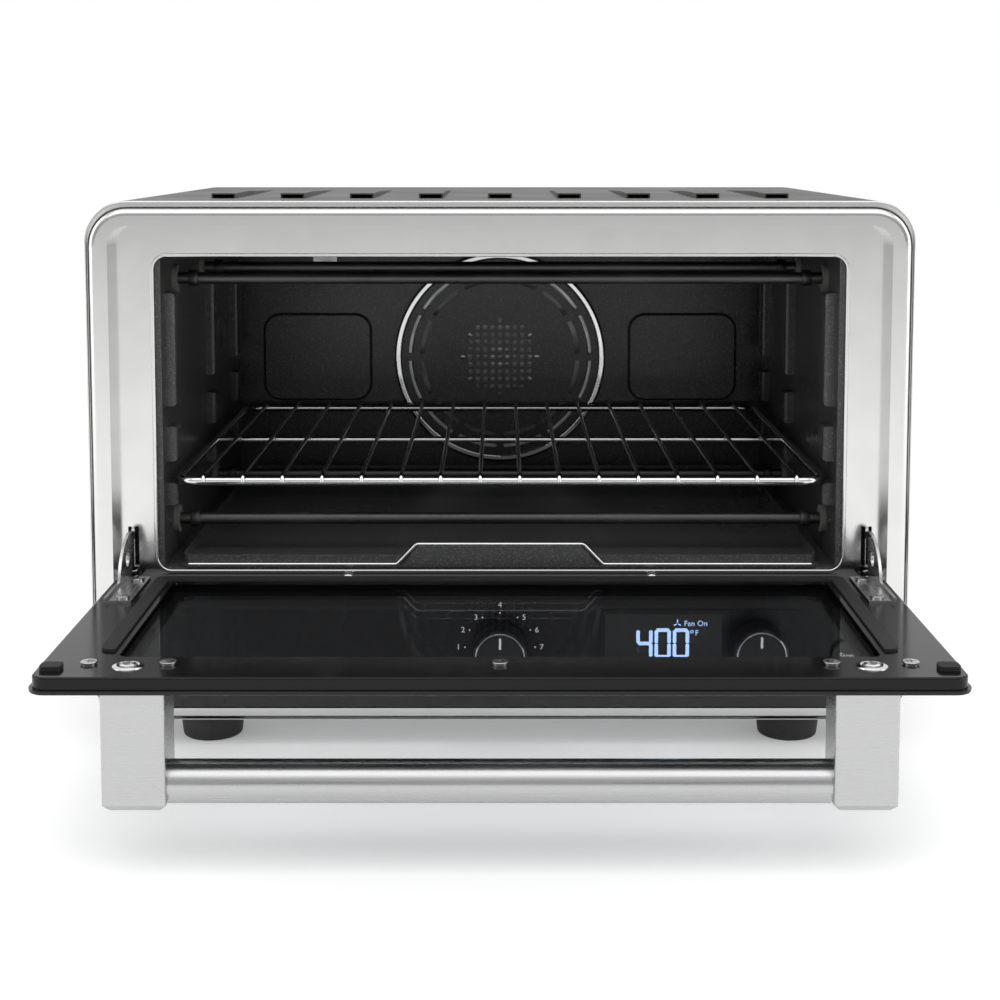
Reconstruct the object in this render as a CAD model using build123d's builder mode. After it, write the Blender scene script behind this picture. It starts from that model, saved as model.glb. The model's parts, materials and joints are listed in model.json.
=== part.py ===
"""Countertop toaster oven with a drop-down glass door, wire rack, crumb tray and convection fan."""

import os
from math import cos, hypot, radians, sin, sqrt

from build123d import *

# Driving dimensions, in millimetres. The origin lies on the floor, midway along the whole length
# with the door open. Depths y are given back from the front of the bezel, which stands at front_y.
front_y = -78.0
width = 435.0
body_top = 293.0
foot_height = 15.5
body_depth = 296.0
corner_radius = 22.0
sheet = 1.0

# Front bezel
bezel_sheet = 1.4
bezel_half = 216.0
bezel_top = 290.0
recess_half = 205.0
recess_bottom = 22.5
recess_top = 280.0
recess_depth = 11.5

# Cavity
opening_half = 183.0
opening_bottom = 95.3
opening_top = 263.2
cavity_half = 180.0
cavity_floor_z = 96.3
cavity_ceiling_z = 264.5
cavity_back_y = 283.0
cavity_front_y = recess_depth + bezel_sheet

# Door, as it lies open and level
hinge_y = 3.25
hinge_z = 89.75
door_half = 204.0
door_near = -1.0
door_far = -176.0
door_top = 94.5
door_bottom = 86.8
window_half = 170.5
window_near = -12.5
window_far = -144.5
handle_x = 159.0
handle_y = -160.0
handle_z = 43.4
handle_radius = 9.5

# Hinge arms
arm_inner_x = 196.2
arm_sheet = 1.5
arm_radius = 27.5
pin_radius = 2.0
running_gap = 0.05

# Rack and tray
rack_z = 142.3
rack_half = 174.5
rack_front = 14.0
rack_rear = 276.0
cross_wires = 16
cross_pitch = 21.2
tray_half = 171.0
tray_z = 96.7

# Heating elements: name, depth and height
element_radius = 3.25
elements = {
    "upper_front_element": (51.0, 249.0),
    "upper_rear_element": (137.0, 249.0),
    "lower_front_element": (46.0, 115.5),
    "lower_rear_element": (176.0, 115.5),
}

# Fan
fan_z = 176.5
fan_ring_radius = 72.5
impeller_radius = 48.0
shaft_radius = 3.0

# Controls on the front panel
panel_top = 93.2
panel_bottom = 23.2
panel_sheet = 3.0
knob_radius = 15.0
knob_length = 19.0
mode_knob_at = (0.0, 55.8)
setting_knob_at = (136.4, 56.5)
button_radius = 8.0
buttons = {"upper_button": (184.0, 74.0), "lower_button": (184.0, 52.0)}
display_x = (56.0, 118.0)
display_z = (36.0, 74.0)

# Feet
foot_places = [(x, y) for x in (-158.0, 158.0) for y in (28.0, 262.0)]
gland_at = (-168.0, 48.0)

os.makedirs("parts", exist_ok=True)


def keep(piece, name):
    """Label a finished piece and write it."""
    piece.part.label = name
    export_step(piece.part, f"parts/{name}.step")


def facing(y):
    """The upright plane at depth y: its own x is width, its own y is height, it faces forward."""
    return Plane(origin=(0, front_y + y, 0), x_dir=(1, 0, 0), z_dir=(0, -1, 0))


def beside(x):
    """The upright plane at width x: its own x is depth, its own y is height."""
    return Plane(origin=(x, front_y, 0), x_dir=(0, 1, 0), z_dir=(1, 0, 0))


def block(x, y, z, mode=Mode.ADD):
    """A box between the given pairs of limits."""
    centre = (sum(x) / 2, front_y + sum(y) / 2, sum(z) / 2)
    with Locations(centre):
        Box(x[1] - x[0], y[1] - y[0], z[1] - z[0], mode=mode)


def upright_plate(x, y, z, radius, mode=Mode.ADD):
    """An upright plate with rounded corners, facing forward, between depths y."""
    with BuildSketch(facing(y[0])) as outline:
        with Locations((sum(x) / 2, sum(z) / 2)):
            RectangleRounded(x[1] - x[0], z[1] - z[0], radius)
    extrude(outline.sketch, amount=y[0] - y[1], mode=mode)


def level_plate(x, y, z, radius, mode=Mode.ADD):
    """A level plate with rounded corners between heights z."""
    with BuildSketch(Plane.XY.offset(z[0])) as outline:
        with Locations((sum(x) / 2, front_y + sum(y) / 2)):
            RectangleRounded(x[1] - x[0], y[1] - y[0], radius)
    extrude(outline.sketch, amount=z[1] - z[0], mode=mode)


def rod_along_depth(x, z, radius, y, mode=Mode.ADD):
    """A round bar that runs front to back between depths y."""
    with BuildSketch(facing(y[0])) as outline:
        with Locations((x, z)):
            Circle(radius)
    extrude(outline.sketch, amount=y[0] - y[1], mode=mode)


def rod_across(y, z, radius, x, mode=Mode.ADD):
    """A round bar that runs from side to side between widths x."""
    with BuildSketch(beside(x[0])) as outline:
        with Locations((y, z)):
            Circle(radius)
    extrude(outline.sketch, amount=x[1] - x[0], mode=mode)


def rod_upright(x, y, radius, z, mode=Mode.ADD):
    """An upright round bar between heights z."""
    with BuildSketch(Plane.XY.offset(z[0])) as outline:
        with Locations((x, front_y + y)):
            Circle(radius)
    extrude(outline.sketch, amount=z[1] - z[0], mode=mode)


def tube_section(y, inset, radius, mode=Mode.ADD):
    """The body's rounded outline, shrunk by inset, extruded between depths y."""
    half = width / 2 - inset
    upright_plate((-half, half), y, (foot_height + inset, body_top - inset), radius - inset, mode)


# ---------------------------------------------------------------- outer shell

housing_front = 5.0
rib_pitch = 38.0
rib_half = 6.5
rib_height = 2.6
rib_wall = 0.8
rib_front = 51.0
rib_crest = 100.0
rib_rear = 238.0
rib_places = [rib_pitch * (i - 4) for i in range(9)]
flange_half = 186.0

with BuildPart() as outer_housing:
    tube_section((housing_front, body_depth), 0, corner_radius)
    tube_section((housing_front - 1, body_depth + 1), sheet, corner_radius, Mode.SUBTRACT)
    block((-flange_half, flange_half), (0, body_depth + 1), (foot_height - 1, foot_height + 3), Mode.SUBTRACT)
    rib_top = body_top + rib_height
    mouth_top = rib_top - rib_wall
    for rib_x in rib_places:
        with BuildSketch(beside(rib_x - rib_half)):
            Polygon(
                (rib_front, body_top - 0.5),
                (rib_front, rib_top),
                (rib_crest, rib_top),
                (rib_rear, body_top - 0.5),
                align=None,
            )
        extrude(amount=2 * rib_half)
        with BuildSketch(beside(rib_x - rib_half + rib_wall)):
            Polygon(
                (rib_front - 1, body_top),
                (rib_front - 1, mouth_top),
                (rib_crest - 2, mouth_top),
                (rib_rear - 60, body_top - 1.5),
                (rib_front + 4, body_top - 1.5),
                (rib_front + 4, body_top),
                align=None,
            )
        extrude(amount=2 * (rib_half - rib_wall), mode=Mode.SUBTRACT)
    for side in (-1, 1):
        notch_x = sorted((side * 197, side * 204))
        block(notch_x, (housing_front - 1, housing_front + 4), (body_top - 6, body_top + 1), Mode.SUBTRACT)
    with BuildSketch(beside(-width / 2 - 1)):
        with Locations((214, 52)):
            with GridLocations(12, 9, 12, 3):
                SlotOverall(7, 3, rotation=90)
    extrude(amount=width + 2, mode=Mode.SUBTRACT)
keep(outer_housing, "outer_housing")

base_z = foot_height + sheet
base_half = 194.0
with BuildPart() as base_plate:
    level_plate((-base_half, base_half), (24, body_depth - 3), (base_z, base_z + sheet), 6)
    with BuildSketch(Plane.XY.offset(base_z - 1)):
        with Locations((0, front_y + 150)):
            with GridLocations(14, 46, 15, 3):
                SlotOverall(32, 4, rotation=90)
    extrude(amount=4, mode=Mode.SUBTRACT)
    for foot_x, foot_y in foot_places:
        rod_upright(foot_x, foot_y, 2.1, (base_z - 1, base_z + 3), Mode.SUBTRACT)
keep(base_plate, "base_plate")

foot_radius = 18.0
with BuildPart() as feet:
    for foot_x, foot_y in foot_places:
        with BuildSketch(Plane.XY):
            with Locations((foot_x, front_y + foot_y)):
                Circle(foot_radius - 2)
        extrude(amount=base_z, taper=-6.5)
        rod_upright(foot_x, foot_y, 2.1, (3, base_z + 1), Mode.SUBTRACT)
        rod_upright(foot_x, foot_y, 5, (-1, 6), Mode.SUBTRACT)
    rim = [e for e in feet.edges().group_by(Axis.Z)[0] if e.length > 60]
    fillet(rim, 1.5)
keep(feet, "feet")

with BuildPart() as foot_screws:
    for foot_x, foot_y in foot_places:
        rod_upright(foot_x, foot_y, 2, (3, base_z + 4))
        rod_upright(foot_x, foot_y, 4, (3, 6))
        with BuildSketch(Plane.XY.offset(base_z + sheet)):
            with Locations((foot_x, front_y + foot_y)):
                RegularPolygon(4, 6)
        extrude(amount=2.5)
keep(foot_screws, "foot_screws")

# ---------------------------------------------------------------- rear

fan_bulge_half = 82.0
rear_screw_places = [(x, z) for x in (-204, 204) for z in (36, 154, 272)] + [(-70, 284), (70, 284)]
with BuildPart() as rear_panel:
    tube_section((body_depth - sheet, body_depth), sheet, corner_radius)
    rod_along_depth(0, fan_z, 70, (body_depth - 3, body_depth + 1), Mode.SUBTRACT)
    rod_along_depth(gland_at[0], gland_at[1], 7, (body_depth - 3, body_depth + 1), Mode.SUBTRACT)
    with BuildSketch(facing(body_depth + 1)):
        for vent_x in (-145, 145):
            with Locations((vent_x, 230)):
                with GridLocations(9, 44, 9, 1):
                    SlotOverall(36, 4, rotation=90)
        with Locations((0, 50)):
            with GridLocations(11, 30, 18, 1):
                SlotOverall(30, 4, rotation=90)
    extrude(amount=4, mode=Mode.SUBTRACT)
    for screw_x, screw_z in rear_screw_places:
        rod_along_depth(screw_x, screw_z, 1.5, (body_depth - 3, body_depth + 1), Mode.SUBTRACT)
keep(rear_panel, "rear_panel")

bulge_back = 332.0
with BuildPart() as rear_fan_cover:
    upright_plate(
        (-fan_bulge_half, fan_bulge_half), (body_depth, bulge_back), (fan_z - 80, fan_z + 80), 24
    )
    back_edges = rear_fan_cover.faces().sort_by(Axis.Y)[-1].edges()
    fillet(back_edges, 5)
    upright_plate(
        (2 - fan_bulge_half, fan_bulge_half - 2),
        (body_depth - 1, bulge_back - 2),
        (fan_z - 78, fan_z + 78),
        22,
        Mode.SUBTRACT,
    )
    with BuildSketch(facing(bulge_back + 1)):
        with Locations((0, fan_z)):
            with GridLocations(10, 36, 9, 3):
                SlotOverall(28, 4, rotation=90)
    extrude(amount=5, mode=Mode.SUBTRACT)
keep(rear_fan_cover, "rear_fan_cover")

with BuildPart() as rear_screws:
    for screw_x, screw_z in rear_screw_places:
        rod_along_depth(screw_x, screw_z, 1.5, (body_depth - 4, body_depth))
        rod_along_depth(screw_x, screw_z, 3.2, (body_depth, body_depth + 1.6))
keep(rear_screws, "rear_screws")

gland_bore = 4.0
with BuildPart() as cable_gland:
    rod_along_depth(gland_at[0], gland_at[1], 7, (body_depth - 9, body_depth))
    rod_along_depth(gland_at[0], gland_at[1], 10, (body_depth, body_depth + 7))
    rod_along_depth(gland_at[0], gland_at[1], 9.5, (body_depth - 9, body_depth - sheet))
    collar = cable_gland.faces().sort_by(Axis.Y)[-1].edges()
    fillet(collar, 2)
    rod_along_depth(gland_at[0], gland_at[1], gland_bore, (body_depth - 10, body_depth + 8), Mode.SUBTRACT)
keep(cable_gland, "cable_gland")

# ---------------------------------------------------------------- front bezel

slot_x = (193.5, 199.2)
slot_z = (84.5, 118.5)
skirt_back = 24.0
rim_front = 1.5
with BuildPart() as front_bezel:
    tube_section((rim_front, housing_front), 0, corner_radius)
    rim_edge = front_bezel.faces().sort_by(Axis.Y)[0].outer_wire().edges()
    fillet(rim_edge, 0.8)
    upright_plate(
        (-bezel_half - 0.4, bezel_half + 0.4),
        (rim_front - 1, housing_front + 1),
        (base_z - 0.3, bezel_top + 1.2),
        20.5,
        Mode.SUBTRACT,
    )
    tube_section((housing_front, skirt_back), sheet, corner_radius)
    upright_plate((-bezel_half, bezel_half), (0, housing_front + 1), (base_z, bezel_top), 20.5)
    front_edges = front_bezel.faces().sort_by(Axis.Y)[0].edges()
    fillet(front_edges, 4.5)
    inner_half = bezel_half - bezel_sheet
    upright_plate(
        (-inner_half, inner_half),
        (5.4, skirt_back + 1),
        (base_z + bezel_sheet, bezel_top - bezel_sheet),
        18,
        Mode.SUBTRACT,
    )
    wall_half = recess_half + bezel_sheet
    upright_plate(
        (-wall_half, wall_half),
        (2, cavity_front_y),
        (recess_bottom - bezel_sheet, recess_top + bezel_sheet),
        12,
    )
    upright_plate(
        (-recess_half, recess_half), (-1, recess_depth), (recess_bottom, recess_top), 10, Mode.SUBTRACT
    )
    rolled = (opening_half + 2, opening_bottom - 2, opening_top + 2)
    upright_plate((-rolled[0], rolled[0]), (recess_depth - 1.3, cavity_front_y), rolled[1:], 9)
    upright_plate(
        (-opening_half, opening_half),
        (-1, cavity_front_y + 1),
        (opening_bottom, opening_top),
        7,
        Mode.SUBTRACT,
    )
    bead_y = front_y + recess_depth - 1.3
    bead = front_bezel.edges().filter_by_position(Axis.Y, bead_y - 0.01, bead_y + 0.01)
    fillet(bead, 0.7)
    block((-198, 198), (-1, cavity_front_y + 1), (27, 80), Mode.SUBTRACT)
    for side in (-1, 1):
        slot = sorted((side * slot_x[0], side * slot_x[1]))
        block(slot, (recess_depth - 1, cavity_front_y + 1), slot_z, Mode.SUBTRACT)
keep(front_bezel, "front_bezel")

# ---------------------------------------------------------------- oven cavity

wall_sheet = 1.0
cavity_span = (cavity_front_y, cavity_back_y)
flange = 8.0
with BuildPart() as cavity_floor:
    block((-cavity_half, cavity_half), cavity_span, (cavity_floor_z - wall_sheet, cavity_floor_z))
    block(
        (-cavity_half, cavity_half),
        (cavity_front_y, cavity_front_y + wall_sheet),
        (cavity_floor_z - flange, cavity_floor_z),
    )
keep(cavity_floor, "cavity_floor")

probe_x = -120.0
with BuildPart() as cavity_ceiling:
    block((-cavity_half, cavity_half), cavity_span, (cavity_ceiling_z, cavity_ceiling_z + wall_sheet))
    block(
        (-cavity_half, cavity_half),
        (cavity_front_y, cavity_front_y + wall_sheet),
        (cavity_ceiling_z, cavity_ceiling_z + flange),
    )
keep(cavity_ceiling, "cavity_ceiling")

guide_depth = 6.0
guide_places = [28.0, 156.0, 250.0]
guide_heights = [(128.0, 140.0), (152.0, 171.0), (182.0, 243.0)]
insulator_radius = 5.5
rivet_z = 118.0


def cavity_wall(side):
    """One side wall with its pressed rack guides; side is -1 for left and 1 for right."""
    outside = side * (cavity_half + wall_sheet)
    inside = side * cavity_half
    tip = side * (cavity_half - guide_depth)
    wall_z = (cavity_floor_z - wall_sheet, cavity_ceiling_z + wall_sheet)
    with BuildPart() as wall:
        block(sorted((inside, outside)), cavity_span, wall_z)
        lip = sorted((inside, side * (cavity_half + flange)))
        block(lip, (cavity_front_y, cavity_front_y + wall_sheet), wall_z)
        for guide_y in guide_places:
            for low, high in guide_heights:
                block(sorted((inside, tip)), (guide_y - 7, guide_y + 7), (low, high))
        tips = wall.faces().filter_by(Axis.X).group_by(Axis.X)[-1 if side < 0 else 0]
        fillet(tips.edges(), 2.4)
        for element_y, element_z in elements.values():
            rod_across(element_y, element_z, insulator_radius, sorted((tip, outside)), Mode.SUBTRACT)
        rod_across(guide_places[0], rivet_z, 2.5, sorted((inside - side * 1.2, inside)))
    return wall


keep(cavity_wall(-1), "cavity_left_wall")
keep(cavity_wall(1), "cavity_right_wall")

pad_x = (88.0, 163.0)
pad_z = (146.0, 207.0)
with BuildPart() as cavity_back_wall:
    back_half = cavity_half + wall_sheet
    back_z = (cavity_floor_z - wall_sheet, cavity_ceiling_z + wall_sheet)
    block((-back_half, back_half), (cavity_back_y, cavity_back_y + wall_sheet), back_z)
    for side in (-1, 1):
        pad = sorted((side * pad_x[0], side * pad_x[1]))
        upright_plate(pad, (cavity_back_y - 2, cavity_back_y), pad_z, 12)
    pad_faces = cavity_back_wall.faces().filter_by(Axis.Y).group_by(Axis.Y)[0]
    chamfer(pad_faces.edges(), 1.8)
    rod_along_depth(0, fan_z, 64, (cavity_back_y - 3, cavity_back_y + 3), Mode.SUBTRACT)
    rod_along_depth(probe_x, 240, 2.0, (cavity_back_y - 3, cavity_back_y + 3), Mode.SUBTRACT)
keep(cavity_back_wall, "cavity_back_wall")

for element_name, (element_y, element_z) in elements.items():
    with BuildPart() as element:
        rod_across(element_y, element_z, element_radius, (-192, 192))
        for side in (-1, 1):
            rod_across(element_y, element_z, 1.2, sorted((side * 192, side * 200)))
    keep(element, element_name)

with BuildPart() as element_insulators:
    for element_y, element_z in elements.values():
        for side in (-1, 1):
            barrel = sorted((side * cavity_half, side * (cavity_half + 8)))
            collar = sorted((side * (cavity_half - 2.5), side * cavity_half))
            bore = sorted((side * (cavity_half - 3), side * (cavity_half + 9)))
            rod_across(element_y, element_z, insulator_radius, barrel)
            rod_across(element_y, element_z, 7.5, collar)
            rod_across(element_y, element_z, element_radius, bore, Mode.SUBTRACT)
keep(element_insulators, "element_insulators")

with BuildPart() as temperature_probe:
    rod_along_depth(probe_x, 240, 2.0, (cavity_back_y - 46, cavity_back_y + 6))
    block((probe_x - 8, probe_x + 8), (cavity_back_y - 1.2, cavity_back_y), (232, 248))
    rod_along_depth(probe_x, 240, 2.6, (cavity_back_y - 46, cavity_back_y - 34))
keep(temperature_probe, "temperature_probe")

with BuildPart() as insulation_blanket:
    blanket_z = (cavity_ceiling_z + wall_sheet, cavity_ceiling_z + 15)
    level_plate((-178, 178), (cavity_front_y + 12, cavity_back_y - 2), blanket_z, 8)
keep(insulation_blanket, "insulation_blanket")

# ---------------------------------------------------------------- fan

grid_pitch = 5.1
grid_radius = 25.8
grid_holes = [
    (grid_pitch * i, fan_z + grid_pitch * j)
    for i in range(-5, 6)
    for j in range(-5, 6)
    if hypot(i, j) * grid_pitch < grid_radius
]
with BuildPart() as fan_cover:
    rod_along_depth(0, fan_z, 67.5, (cavity_back_y - 2, cavity_back_y))
    with BuildSketch(facing(cavity_back_y - 3)):
        with Locations((0, fan_z)):
            for ring_radius in (63, 55):
                Circle(ring_radius)
                Circle(ring_radius - 3, mode=Mode.SUBTRACT)
            with PolarLocations(0, 12):
                with Locations((55, 0)):
                    Rectangle(30, 5, mode=Mode.SUBTRACT)
        with Locations(*grid_holes):
            Circle(1.6)
    extrude(amount=-5, mode=Mode.SUBTRACT)
keep(fan_cover, "fan_cover")

with BuildPart() as fan_cover_ring:
    rod_along_depth(0, fan_z, fan_ring_radius, (cavity_back_y - 4, cavity_back_y))
    rod_along_depth(0, fan_z, 67.5, (cavity_back_y - 5, cavity_back_y + 1), Mode.SUBTRACT)
    fillet(fan_cover_ring.faces().sort_by(Axis.Y)[0].edges(), 1.6)
keep(fan_cover_ring, "fan_cover_ring")

pan_back = 301.2
with BuildPart() as fan_housing:
    rod_along_depth(0, fan_z, 62, (cavity_back_y + wall_sheet, pan_back))
    rod_along_depth(0, fan_z, 68, (cavity_back_y + wall_sheet, cavity_back_y + 2))
    rod_along_depth(0, fan_z, 61, (cavity_back_y, pan_back - sheet), Mode.SUBTRACT)
    rod_along_depth(0, fan_z, shaft_radius + 1, (cavity_back_y, pan_back + 1), Mode.SUBTRACT)
keep(fan_housing, "fan_housing")

with BuildPart() as fan_motor:
    rod_along_depth(0, fan_z, 25, (pan_back, pan_back + 24))
    rod_along_depth(0, fan_z, shaft_radius, (cavity_back_y + 4, pan_back + 1))
    block((-34, 34), (pan_back, pan_back + 1.5), (fan_z - 7, fan_z + 7))
keep(fan_motor, "fan_motor")

with BuildPart() as fan_impeller:
    rod_along_depth(0, fan_z, impeller_radius, (cavity_back_y + 9, cavity_back_y + 10))
    rod_along_depth(0, fan_z, 7, (cavity_back_y + 5, cavity_back_y + 13))
    with BuildSketch(facing(cavity_back_y + 3)):
        with Locations((0, fan_z)):
            with PolarLocations(0, 10):
                with Locations((34, 0)):
                    Rectangle(26, 1.2)
    extrude(amount=-6)
    bore_span = (cavity_back_y + 2, cavity_back_y + 14)
    rod_along_depth(0, fan_z, shaft_radius + running_gap, bore_span, Mode.SUBTRACT)
keep(fan_impeller, "fan_impeller")

# ---------------------------------------------------------------- front controls

knob_hole = 3.6
notch_x = 191.5
notch_z = 82.5
button_gap = 0.4
with BuildPart() as control_panel:
    panel_half = recess_half - 0.4
    panel_z = (panel_bottom, panel_top)
    upright_plate((-panel_half, panel_half), (0, recess_depth), panel_z, 9.6)
    hollow_half = panel_half - 2.5
    hollow_z = (panel_bottom + 2.5, panel_top - 3.2)
    upright_plate((-hollow_half, hollow_half), (panel_sheet, recess_depth + 1), hollow_z, 7, Mode.SUBTRACT)
    for side in (-1, 1):
        notch = sorted((side * notch_x, side * (panel_half + 1)))
        block(notch, (-1, recess_depth + 1), (notch_z, panel_top + 1), Mode.SUBTRACT)
    nose = control_panel.edges().filter_by(Axis.X).group_by(Axis.Z)[-1].sort_by(Axis.Y)[0]
    fillet(nose, 3.1)
    for knob_at in (mode_knob_at, setting_knob_at):
        rod_along_depth(*knob_at, knob_hole, (-1, panel_sheet + 1), Mode.SUBTRACT)
    for button_at in buttons.values():
        rod_along_depth(*button_at, button_radius + button_gap, (-1, panel_sheet + 1), Mode.SUBTRACT)
    block(display_x, (-1, panel_sheet + 1), display_z, Mode.SUBTRACT)
    for post_x in (-50, 40, 128):
        rod_along_depth(post_x, 30, 3, (panel_sheet, 14))
keep(control_panel, "control_panel")

module_x = (53.5, 159.5)
module_z = (31.4, 76.5)
with BuildPart() as display_module:
    upright_plate(module_x, (-0.8, 0), module_z, 4)
    block(display_x, (-2, 1), display_z, Mode.SUBTRACT)
    rod_along_depth(*setting_knob_at, knob_hole, (-2, 1), Mode.SUBTRACT)
keep(display_module, "display_module")

with BuildPart() as display_lens:
    block(display_x, (-0.8, 1.4), display_z)
keep(display_lens, "display_lens")

board_y = (14.0, 15.6)
with BuildPart() as control_board:
    block((-60, 191), board_y, (29.5, 80))
    display_case = (display_x[0] + 1, display_x[1] - 1)
    block(display_case, (1.4, board_y[0]), (display_z[0] + 1, display_z[1] - 1))
    block((60, 90), (board_y[1], board_y[1] + 4), (46, 66))
    block((20, 40), (board_y[1], board_y[1] + 9), (34, 42))
    for chip_x in (-40, -20, 120):
        block((chip_x, chip_x + 10), (board_y[1], board_y[1] + 3), (44, 56))
keep(control_board, "control_board")

shaft_end = -11.0
for encoder_name, knob_at in (("mode_encoder", mode_knob_at), ("setting_encoder", setting_knob_at)):
    with BuildPart() as encoder:
        block((knob_at[0] - 7, knob_at[0] + 7), (6, board_y[0]), (knob_at[1] - 7, knob_at[1] + 7))
        rod_along_depth(*knob_at, shaft_radius, (shaft_end, 7))
    keep(encoder, encoder_name)

button_proud = 3.0
with BuildPart() as button_switches:
    for button_at in buttons.values():
        block((button_at[0] - 5, button_at[0] + 5), (9, board_y[0]), (button_at[1] - 5, button_at[1] + 5))
keep(button_switches, "button_switches")

for button_name, button_at in buttons.items():
    with BuildPart() as button:
        rod_along_depth(*button_at, button_radius, (-button_proud, 7.5))
        fillet(button.faces().sort_by(Axis.Y)[0].edges(), 0.8)
    keep(button, button_name)

for knob_name, knob_at in (("mode_knob", mode_knob_at), ("setting_knob", setting_knob_at)):
    with BuildPart() as knob:
        rod_along_depth(*knob_at, knob_radius, (-knob_length - 1.4, -1.4))
        fillet(knob.faces().sort_by(Axis.Y)[0].edges(), 1.2)
        bore_span = (shaft_end - 0.6, 0)
        rod_along_depth(*knob_at, shaft_radius + running_gap, bore_span, Mode.SUBTRACT)
        rod_along_depth(*knob_at, knob_radius - 2.5, (-7, 0), Mode.SUBTRACT)
        rod_along_depth(*knob_at, 6, (-8, -2))
        rod_along_depth(*knob_at, shaft_radius + running_gap, bore_span, Mode.SUBTRACT)
    keep(knob, knob_name)

with BuildPart() as power_board:
    board_z = base_z + sheet + 7
    level_plate((-150, -30), (110, 210), (board_z, board_z + 1.6), 2)
    for post_x, post_y in [(x, y) for x in (-144, -36) for y in (116, 204)]:
        rod_upright(post_x, post_y, 2.5, (base_z + sheet, board_z))
    block((-140, -100), (150, 185), (board_z + 1.6, board_z + 32))
    block((-90, -72), (150, 175), (board_z + 1.6, board_z + 17))
    block((-66, -48), (150, 175), (board_z + 1.6, board_z + 17))
    rod_upright(-60, 130, 6, (board_z + 1.6, board_z + 22))
    rod_upright(-80, 130, 6, (board_z + 1.6, board_z + 22))
keep(power_board, "power_board")

# ---------------------------------------------------------------- door hinges

bracket_x = (199.6, 201.1)
hook_y = 16.25
hook_z = 113.0
anchor_z = 22.0
spring_coil_z = (40.0, 96.0)
arm_screw_depths = (-13.5, -49.0)


def hinge_bracket(side):
    """The fixed bracket that carries one hinge pin."""
    plate = sorted((side * bracket_x[0], side * bracket_x[1]))
    outer = sorted((side * bracket_x[0], side * (recess_half - 0.4)))
    with BuildPart() as bracket:
        rod_across(hinge_y, hinge_z, 3.4, plate)
        block(plate, (hinge_y, recess_depth), (hinge_z - 3.4, hinge_z + 2))
        block(outer, (recess_depth - 1.2, recess_depth), (hinge_z - 6, hinge_z + 2))
        rod_across(hinge_y, hinge_z, pin_radius, sorted((side * 198, side * 203)), Mode.SUBTRACT)
    return bracket


keep(hinge_bracket(-1), "left_hinge_bracket")
keep(hinge_bracket(1), "right_hinge_bracket")

with BuildPart() as hinge_pins:
    for side in (-1, 1):
        rod_across(hinge_y, hinge_z, pin_radius, sorted((side * 195, side * 201.1)))
        rod_across(hinge_y, hinge_z, 3, sorted((side * 201.1, side * 202.1)))
keep(hinge_pins, "hinge_pins")


def hinge_arm(side):
    """A flat plate that turns on the pin, runs through the bezel slot and folds under onto the door."""
    plate = sorted((side * arm_inner_x, side * (arm_inner_x + arm_sheet)))
    leaf = sorted((side * 184, side * (arm_inner_x + arm_sheet)))
    arm_foot = door_top - hinge_z
    leg_top = 7.5
    leg_end = -58.0
    arc_start = (-sqrt(arm_radius**2 - leg_top**2), leg_top)
    tail = (arm_radius * cos(radians(72)), arm_radius * sin(radians(72)))
    middle = (arm_radius * cos(radians(115)), arm_radius * sin(radians(115)))
    pivot = Plane(origin=(plate[0], front_y + hinge_y, hinge_z), x_dir=(0, 1, 0), z_dir=(1, 0, 0))
    with BuildPart() as arm:
        with BuildSketch(pivot):
            with BuildLine():
                Polyline((0, 0), (-3.4, 0), (-3.4, arm_foot), (leg_end, arm_foot))
                Polyline((leg_end, arm_foot), (leg_end, leg_top), arc_start)
                ThreePointArc(arc_start, middle, tail)
                Line(tail, (0, 0))
            make_face()
            Circle(3.4)
            Polygon((7, 21), (14, 24), (14, 32), (9.75, 32), (9.75, 27), align=None)
            Circle(pin_radius + running_gap, mode=Mode.SUBTRACT)
            with Locations((hook_y - hinge_y - 1.4, 27)):
                Circle(1.1, mode=Mode.SUBTRACT)
            with Locations((-8, 15)):
                Circle(4, mode=Mode.SUBTRACT)
        extrude(amount=arm_sheet)
        block(leaf, (hinge_y + leg_end, -6), (door_top, door_top + 1.2))
        for screw_y in arm_screw_depths:
            rod_upright(side * 189, screw_y, 1.5, (door_top - 1, door_top + 3), Mode.SUBTRACT)
    return arm


keep(hinge_arm(-1), "left_hinge_arm")
keep(hinge_arm(1), "right_hinge_arm")

with BuildPart() as spring_anchors:
    for side in (-1, 1):
        foot_x = sorted((side * 186, side * (base_half - 0.5)))
        block(foot_x, (28, 38), (base_z + sheet, anchor_z))
        block(sorted((side * 186, side * 200)), (hook_y - 2.5, 38), (anchor_z, anchor_z + 1.5))
keep(spring_anchors, "spring_anchors")


def door_spring(side):
    """A tension coil between the anchor on the base and the tail of the hinge arm."""
    coil_x = side * (arm_inner_x + arm_sheet / 2)
    coil_radius = 2.6
    wire = 0.6
    with BuildPart() as spring:
        with BuildLine(Plane(origin=(coil_x, front_y + hook_y, spring_coil_z[0]))):
            coil = Helix(pitch=3.2, height=spring_coil_z[1] - spring_coil_z[0], radius=coil_radius)
        with BuildSketch(Plane(origin=coil @ 0, z_dir=coil % 0)):
            Circle(wire)
        sweep(path=coil, is_frenet=True)
        for end_z, tip_z in ((spring_coil_z[0], anchor_z + 1.5), (spring_coil_z[1], hook_z)):
            level = sorted((end_z - wire, end_z + wire))
            block(sorted((coil_x, coil_x + coil_radius)), (hook_y - wire, hook_y + wire), level)
            rod_upright(coil_x, hook_y, wire, sorted((end_z, tip_z)))
    return spring


keep(door_spring(-1), "left_door_spring")
keep(door_spring(1), "right_door_spring")

# ---------------------------------------------------------------- door

door_span = (door_far, door_near)
window_span = (window_far, window_near)
panel_under = 88.8
inner_skin = 93.0
window_frame_half = 165.0
screw_places = [(x, -155.0) for x in (-181, -146, 0, 146, 181)]
bolt_places = [(x, -158.5) for x in (-163, 163)]
post_half = 14.0

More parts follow.
